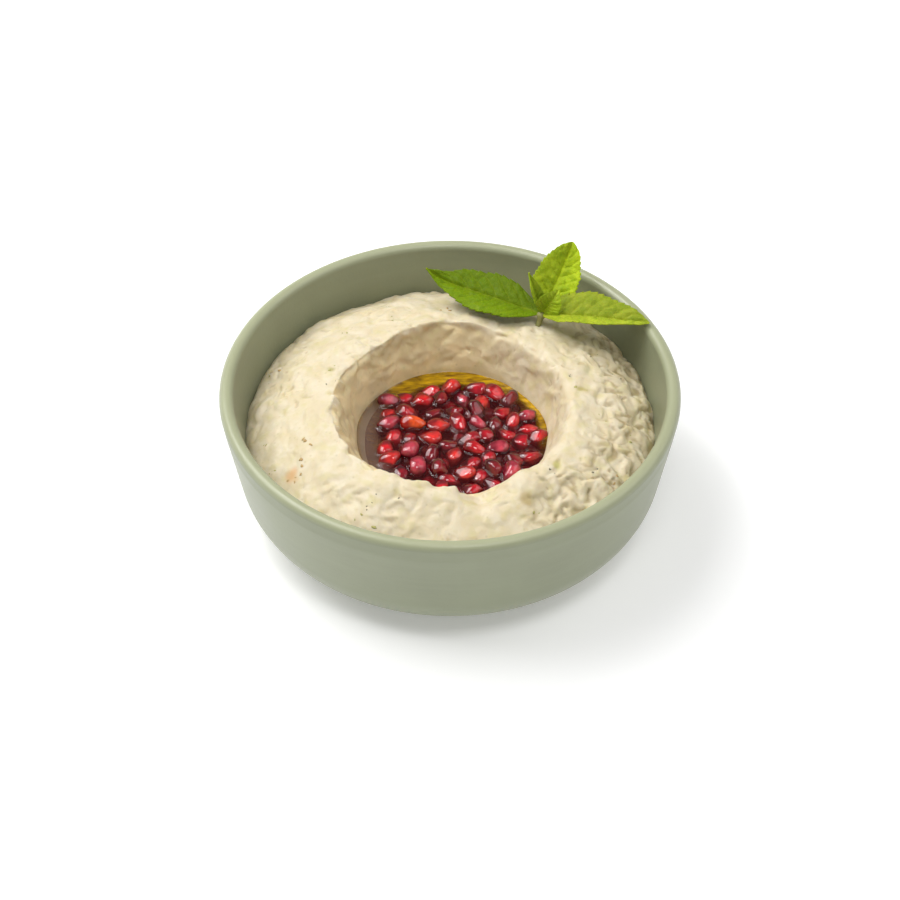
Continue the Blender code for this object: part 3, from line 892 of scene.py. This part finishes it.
def make_seed_core():
    """The dark mass of seeds and juice under the seeds that show."""
    segments, rings = 160, 34
    radii = HEAP_RADIUS * np.arange(1, rings + 1) / rings
    radius, azimuth = np.meshgrid(radii, np.arange(segments) * TAU / segments, indexing="ij")
    settled = settle(radius, azimuth)
    grid = np.stack([settled * np.cos(azimuth), settled * np.sin(azimuth), radius * 0], axis=-1)
    relief = np.abs(perlin(grid.reshape(-1, 3), 5.0 * MM, 43)).reshape(radius.shape)
    shore = smooth_step(1.0, 0.86, radius / HEAP_RADIUS)
    floor = BOWL_HEIGHT - surface_depth(radius) - EMBED
    top = OIL_LEVEL - CORE_DEPTH + CORE_RELIEF * relief
    grid[..., 2] = floor + (top - floor) * shore + CORE_LIFT
    under = grid[-1:].copy()
    under[..., 2] -= EMBED
    whole = np.concatenate([grid, under])
    middle = (0, 0, OIL_LEVEL - CORE_DEPTH + CORE_LIFT)
    core = add_polar("seed_core", middle, whole, (0, 0, BOWL_HEIGHT - WELL_DEPTH))
    shader = Shader("seed_core")
    tone = shader.mix(shader.noise(3 * MM), shader.colour(0.26, 0.03, 0.06),
                      shader.colour(0.36, 0.04, 0.08))
    shader.set(Base_Color=tone, Roughness=0.3, Normal=shader.bump(shader.noise(1.5 * MM), 0.3 * MM))
    finish_piece(core, shader.material, "pomegranate", "pomegranate_heap")


# ---------------------------------------------------------------- oil


def oil_material():
    shader = Shader("olive_oil")
    gold = shader.attribute("gold", "Fac")
    bare_and_reflection = shader.attribute("bare_and_reflection", "Fac")
    streak = shader.noise(3.0 * MM, 3.0, 0.6, place=shader.stretched(0.45, 1.6, 1.0))
    fine = shader.noise(1.5 * MM, 3.0)
    deep = shader.mix(fine, shader.colour(0.20, 0.02, 0.03), shader.colour(0.34, 0.05, 0.05))
    # Greyish where no seeds lie, partly a painted reflection of the soft light
    deep = shader.mix(bare_and_reflection, deep, shader.colour(0.48, 0.37, 0.35))
    bright = shader.mix(shader.range(streak, 0.35, 0.65), shader.colour(0.47, 0.33, 0.0),
                        shader.colour(0.84, 0.66, 0.02))
    body = shader.mix(gold, deep, bright)
    shader.set(Base_Color=body, Alpha=shader.range(gold, 0.0, 1.0, 0.46, 0.93), Roughness=0.05,
               IOR=1.47, Specular_IOR_Level=0.5)
    return shader.material


def oil_climb(grid, shore, rows):
    """How far the oil climbs at its edge and round each seed that isn't deep under it."""
    climb = EDGE_CLIMB * np.exp(-shore / EDGE_CLIMB)
    for x, y, z, heading, _ in rows:
        if z < OIL_LEVEL - DEEP_SEED:
            continue
        cosine, sine = math.cos(heading), math.sin(heading)
        local = (grid[..., :2] - [x, y]) @ np.array([[cosine, -sine], [sine, cosine]])
        away = np.hypot(local[..., 0] / (0.5 * SEED_LENGTH), local[..., 1] / (0.5 * SEED_WIDTH))
        gap = np.maximum(away - 0.88, 0) * 0.5 * SEED_WIDTH
        proud = smooth_step(-DEEP_SEED, 0.4 * MM, z - OIL_LEVEL)
        climb = np.maximum(climb, SEED_CLIMB * proud * np.exp(-gap / SEED_CLIMB_WIDTH))
    return climb


def make_oil(rows):
    """Oil that fills the well, climbs a little up its edge and up each seed that stands out."""
    segments, rings = 400, 96
    azimuth = np.arange(segments) * TAU / segments
    radius, azimuth = np.meshgrid(np.arange(1, rings + 1) / rings, azimuth, indexing="ij")
    reach = round_the_bowl(POOL_OUTLINE, azimuth) + OIL_OVERLAP
    flat = radius * reach
    grid = np.stack([flat * np.cos(azimuth), flat * np.sin(azimuth), 0 * flat + OIL_LEVEL], axis=-1)
    shore = reach - flat
    ripple = perlin(grid.reshape(-1, 3), RIPPLE_SIZE, 51).reshape(flat.shape)
    grid[..., 2] += oil_climb(grid, shore, rows) + RIPPLE_HEIGHT * ripple
    under = grid[[-1, -1, rings // 2]].copy()
    under[0, :, 2] -= 1.2 * MM
    under[1, :, :2] *= 0.985
    under[1, :, 2] = OIL_LEVEL - 2.0 * MM
    under[2, :, 2] = BOWL_HEIGHT - WELL_DEPTH - EMBED
    whole = np.concatenate([grid, under])
    oil = add_polar("oil_pool", (0, 0, OIL_LEVEL), whole, (0, 0, BOWL_HEIGHT - WELL_DEPTH - EMBED))
    back = facing(azimuth, 92, 68) * (1 - smooth_step(4.6 * MM, 8.4 * MM, shore))
    east = facing(azimuth, 25, 44) * (1 - smooth_step(2.4 * MM, 5.2 * MM, shore))
    ring = 0.45 * (1 - smooth_step(0.5 * MM, 1.6 * MM, shore))
    gold = np.maximum(np.maximum(back, east), ring)
    # Paler greyish oil on the west, where no seeds lie, partly a painted reflection of the soft light
    bare_and_reflection = facing(azimuth, 195, 60) * (1 - smooth_step(4 * MM, 10 * MM, shore))
    for name, field in (("gold", gold), ("bare_and_reflection", bare_and_reflection)):
        rest = np.repeat(field[-1:], len(under), axis=0)
        weigh(oil, name, np.concatenate([[0], np.concatenate([field, rest]).ravel(), [0]]))
    finish_piece(oil, oil_material(), "oil", "oil")


# ---------------------------------------------------------------- mint


def leaf_half_width(share, widest, taper, fullness):
    """Half width of an ovate leaf at a share of its length from the foot."""
    inner = np.clip(share, 1e-6, 1 - 1e-6)
    blade = widest * np.maximum(np.sin(math.pi * inner ** taper), 0) ** fullness
    return np.maximum(np.maximum(blade, PETIOLE_HALF_WIDTH * (1 - share)), TIP_HALF_WIDTH * share)


def leaf_veins(share, across):
    """0 on a side vein or the midrib, 1 midway between two side veins."""
    phase = share * LEAF_VEINS - 1.7 * np.abs(across) ** 1.15
    between = np.abs((phase % 1.0) - 0.5) * 2
    return 1 - between ** 2.5


def leaf_body(share):
    """1 over the blade of a leaf, 0 at its foot and its tip."""
    return smooth_step(0.08, 0.2, share) * (1 - smooth_step(0.93, 1.0, share))


def leaf_outline(share, across, widest, taper, fullness):
    """Distance from the midrib and share of the length of each point, with teeth at the edge."""
    saw = (share * LEAF_TEETH) % 1.0
    blade = leaf_body(share)
    serrate = 1 + (TOOTH_REACH * saw - TOOTH_INSET) * blade * np.abs(across) ** 8
    spots = np.stack([share * 6 + widest, across, 0 * share], axis=-1).reshape(-1, 3)
    uneven = 1 + LEAF_UNEVENNESS * perlin(spots, 1.0, 62).reshape(share.shape)
    half = leaf_half_width(share, widest * MM, taper, fullness) * across * serrate * uneven
    ahead = share + TOOTH_LEAN * saw * blade * np.abs(across) ** 6 * (1 - share)
    return half, ahead


def leaf_relief(share, across, half, spread, widest):
    """How far the blade bulges between its veins, and 1 on the midrib and on side veins."""
    quilt = leaf_veins(share, across)
    blade = leaf_body(share)
    inside = blade * (1 - np.abs(across) ** 5)
    size = widest / FULL_SIZE_HALF_WIDTH
    midrib = np.exp(-(half / MIDRIB_WIDTH) ** 2)
    pucker = perlin(spread, PUCKER_SIZE, 61).reshape(share.shape)
    bulge = (0.50 * quilt * size + 0.40 * pucker) * inside * (1 - midrib)
    bulge -= 0.35 * size * midrib * blade
    vein = np.maximum(np.clip(1 - 3.2 * quilt, 0, 1) * inside, midrib)
    return bulge * MM, vein


def make_leaf(name, tip, widest, face, arch, fold, curl, tint, taper, fullness):
    tip = np.array(tip) * MM
    forward = unit(tip - STEM_TOP)
    foot = STEM_TOP + forward * LEAF_START
    along = tip - foot
    length = np.linalg.norm(along)
    up = np.array(face)
    up = unit(up - forward * (up @ forward))
    side = np.cross(forward, up)
    share, across = np.meshgrid(np.linspace(0, 1, LEAF_ROWS), np.linspace(-1, 1, LEAF_COLUMNS + 1),
                                indexing="ij")
    half, ahead = leaf_outline(share, across, widest, taper, fullness)
    spread = np.stack([share * length, half, 0 * half], axis=-1).reshape(-1, 3)
    bulge, vein = leaf_relief(share, across, half, spread, widest)
    wave = perlin(spread, LEAF_WAVE_SIZE, 60).reshape(share.shape) * leaf_body(share)
    lift = arch * MM * np.sin(math.pi * share) + curl * MM * share ** CURL_POWER
    lift += LEAF_WAVE * wave * np.abs(across)
    lean = math.radians(fold)
    rise = (lift + np.abs(half) * math.sin(lean) + bulge)[..., None]
    points = foot + along * ahead[..., None] + up * rise + side * (half * math.cos(lean))[..., None]
    resting = leaf_rest(points[..., 0], points[..., 1])
    points[..., 2] = np.maximum(points[..., 2], resting + np.maximum(bulge, 0))
    columns = LEAF_COLUMNS + 1
    faces = [(i * columns + j, (i + 1) * columns + j, (i + 1) * columns + j + 1, i * columns + j + 1)
             for i in range(LEAF_ROWS - 1) for j in range(LEAF_COLUMNS)]
    leaf = add_mesh(name, points.reshape(-1, 3), faces)
    weigh(leaf, "vein", vein.ravel())
    # Painted shade: each leaf is darker on its half towards the back and lighter on its half towards
    # the front
    frontward = -across if side[1] >= 0 else across
    painted_shade = 0.74 + 0.34 * smooth_step(-0.2, 0.6, frontward)
    paint(leaf, "tone", (linear(tint) * painted_shade[..., None]).reshape(-1, 3))
    shell = leaf.modifiers.new("thickness", "SOLIDIFY")
    shell.thickness = LEAF_THICKNESS
    shell.offset = 0.0
    apply_modifiers(leaf)
    return leaf


def apply_modifiers(obj):
    bpy.context.view_layer.update()
    graph = bpy.context.evaluated_depsgraph_get()
    mesh = bpy.data.meshes.new_from_object(obj.evaluated_get(graph), depsgraph=graph)
    obj.modifiers.clear()
    obj.data = mesh


def leaf_rest(x, y):
    """The lowest that a leaf may lie, over the dip or the rim."""
    over_rim = np.hypot(x, y) > wall_radius(0.0, WALL) - LEAF_MARGIN
    return np.where(over_rim, BOWL_HEIGHT, dip_top(x, y)) + LEAF_REST_GAP


def mint_material():
    shader = Shader("mint_leaf")
    # The tone attribute holds each leaf's tint with its painted shade
    tone = shader.attribute("tone")
    vein = shader.attribute("vein", "Fac")
    patch = shader.noise(3.5 * MM, 3.0)
    net = shader.range(shader.cells(1.5 * MM, "DISTANCE_TO_EDGE"), 0.0, 0.10, 1.0, 0.0)
    body = shader.mix(shader.range(patch, 0.35, 0.65, 0.0, 0.5), tone, shader.colour(0.38, 0.50, 0.0))
    light = shader.mix(1.0, tone, shader.colour(0.36, 0.36, 0.06), "ADD")
    body = shader.mix(shader.math("MULTIPLY", net, 0.30), body, light)
    body = shader.mix(shader.math("MULTIPLY", vein, 0.55), body, light)
    relief = shader.bump(shader.math("SUBTRACT", patch, shader.math("MULTIPLY", net, 0.5)), 0.18 * MM)
    shader.set(Base_Color=body, Roughness=0.50, Normal=relief, Subsurface_Weight=0.15,
               Subsurface_Scale=0.8 * MM, Specular_IOR_Level=0.14)
    shader.principled.inputs["Subsurface Radius"].default_value = (0.5, 1.0, 0.15)
    return shader.material


def make_stem():
    """The stem, thickest at the node that the leaves grow from."""
    segments, rings = 20, 26
    run = STEM_TOP - STEM_FOOT
    forward = unit(run)
    side = unit(np.cross(forward, [0, 1, 0]))
    across = np.cross(forward, side)
    share, turn = np.meshgrid(np.linspace(1.09, 0, rings), np.arange(segments) * TAU / segments,
                              indexing="ij")
    knot = np.exp(-((share - 0.97) / 0.10) ** 2) * 0.7 * MM
    cap = np.sqrt(np.clip((1.10 - share) / 0.08, 0, 1))
    radius = (STEM_RADIUS * (1 + 0.07 * np.cos(4 * turn)) + knot) * cap
    points = STEM_FOOT + run * share[..., None]
    outward = side * np.cos(turn)[..., None] + across * np.sin(turn)[..., None]
    points = points + radius[..., None] * outward
    stem = add_polar("mint_stem", STEM_FOOT + run * 1.10, points, STEM_FOOT)
    shader = Shader("mint_stem")
    tone = shader.mix(shader.noise(1.6 * MM), shader.colour(0.58, 0.60, 0.34),
                      shader.colour(0.50, 0.45, 0.28))
    shader.set(Base_Color=tone, Roughness=0.45, Normal=shader.bump(shader.noise(0.7 * MM), 0.1 * MM))
    finish_piece(stem, shader.material, "mint", "mint_sprig")


def make_mint():
    material = mint_material()
    for leaf in LEAVES:
        finish_piece(make_leaf(*leaf), material, "mint", "mint_sprig")
    make_stem()


# ---------------------------------------------------------------- floor, light and camera


def make_floor():
    floor = add_mesh("floor", [(-4, -4, 0), (4, -4, 0), (4, 4, 0), (-4, 4, 0)], [(0, 1, 2, 3)], False)
    shader = Shader("pale_floor")
    away = shader.add("ShaderNodeVectorMath", {0: shader.place}, operation="LENGTH").outputs["Value"]
    shader.set(Base_Color=(0.92, 0.92, 0.92, 1.0), Roughness=0.9, Specular_IOR_Level=0.1,
               Emission_Color=(1.0, 1.0, 1.0, 1.0),
               Emission_Strength=shader.range(away, 0.5, 1.3, FLOOR_GLOW, FAR_FLOOR_GLOW))
    floor.data.materials.append(shader.material)


def area_light(name, azimuth, elevation, distance, size, power):
    """A square soft light that looks at the bowl."""
    light = bpy.data.lights.new(name, "AREA")
    light.shape = "SQUARE"
    light.size = size
    light.energy = power
    lamp = bpy.data.objects.new(name, light)
    level = math.cos(math.radians(elevation)) * distance
    turn = math.radians(azimuth)
    lamp.location = (level * math.cos(turn), level * math.sin(turn),
                     math.sin(math.radians(elevation)) * distance)
    lamp.rotation_euler = (-lamp.location).to_track_quat("-Z", "Y").to_euler()
    bpy.context.scene.collection.objects.link(lamp)


def make_world():
    """White all round, brightest in a band along the horizon."""
    world = bpy.data.worlds.new("studio")
    world.use_nodes = True
    tree = world.node_tree
    direction = tree.nodes.new("ShaderNodeTexCoord").outputs["Generated"]
    split = tree.nodes.new("ShaderNodeSeparateXYZ")
    fade = tree.nodes.new("ShaderNodeMapRange")
    for key, value in zip(("From Min", "From Max", "To Min", "To Max"), WORLD_FADE):
        fade.inputs[key].default_value = value
    background = tree.nodes["Background"]
    background.inputs["Color"].default_value = (1.0, 1.0, 1.0, 1.0)
    tree.links.new(direction, split.inputs[0])
    tree.links.new(split.outputs["Z"], fade.inputs["Value"])
    tree.links.new(fade.outputs[0], background.inputs["Strength"])
    bpy.context.scene.world = world


def make_light():
    make_world()
    for light in LIGHTS:
        area_light(*light)
    bpy.context.scene.view_settings.view_transform = "Standard"


def make_camera():
    camera = bpy.data.objects.new("camera", bpy.data.cameras.new("camera"))
    camera.data.lens = CAMERA_LENS
    rim = Vector((0.0, 0.0, BOWL_HEIGHT))
    back = Vector((0.0, -math.cos(CAMERA_ELEVATION), math.sin(CAMERA_ELEVATION)))
    camera.location = rim + back * CAMERA_DISTANCE
    aim = rim - Vector((0.0, 0.0, CAMERA_AIM_DEPTH))
    camera.rotation_euler = (aim - camera.location).to_track_quat("-Z", "Y").to_euler()
    bpy.context.scene.collection.objects.link(camera)
    bpy.context.scene.camera = camera


make_bowl()
make_flecks(make_dip())
make_seed_core()
make_oil(make_seeds())
make_mint()
make_floor()
make_light()
make_camera()
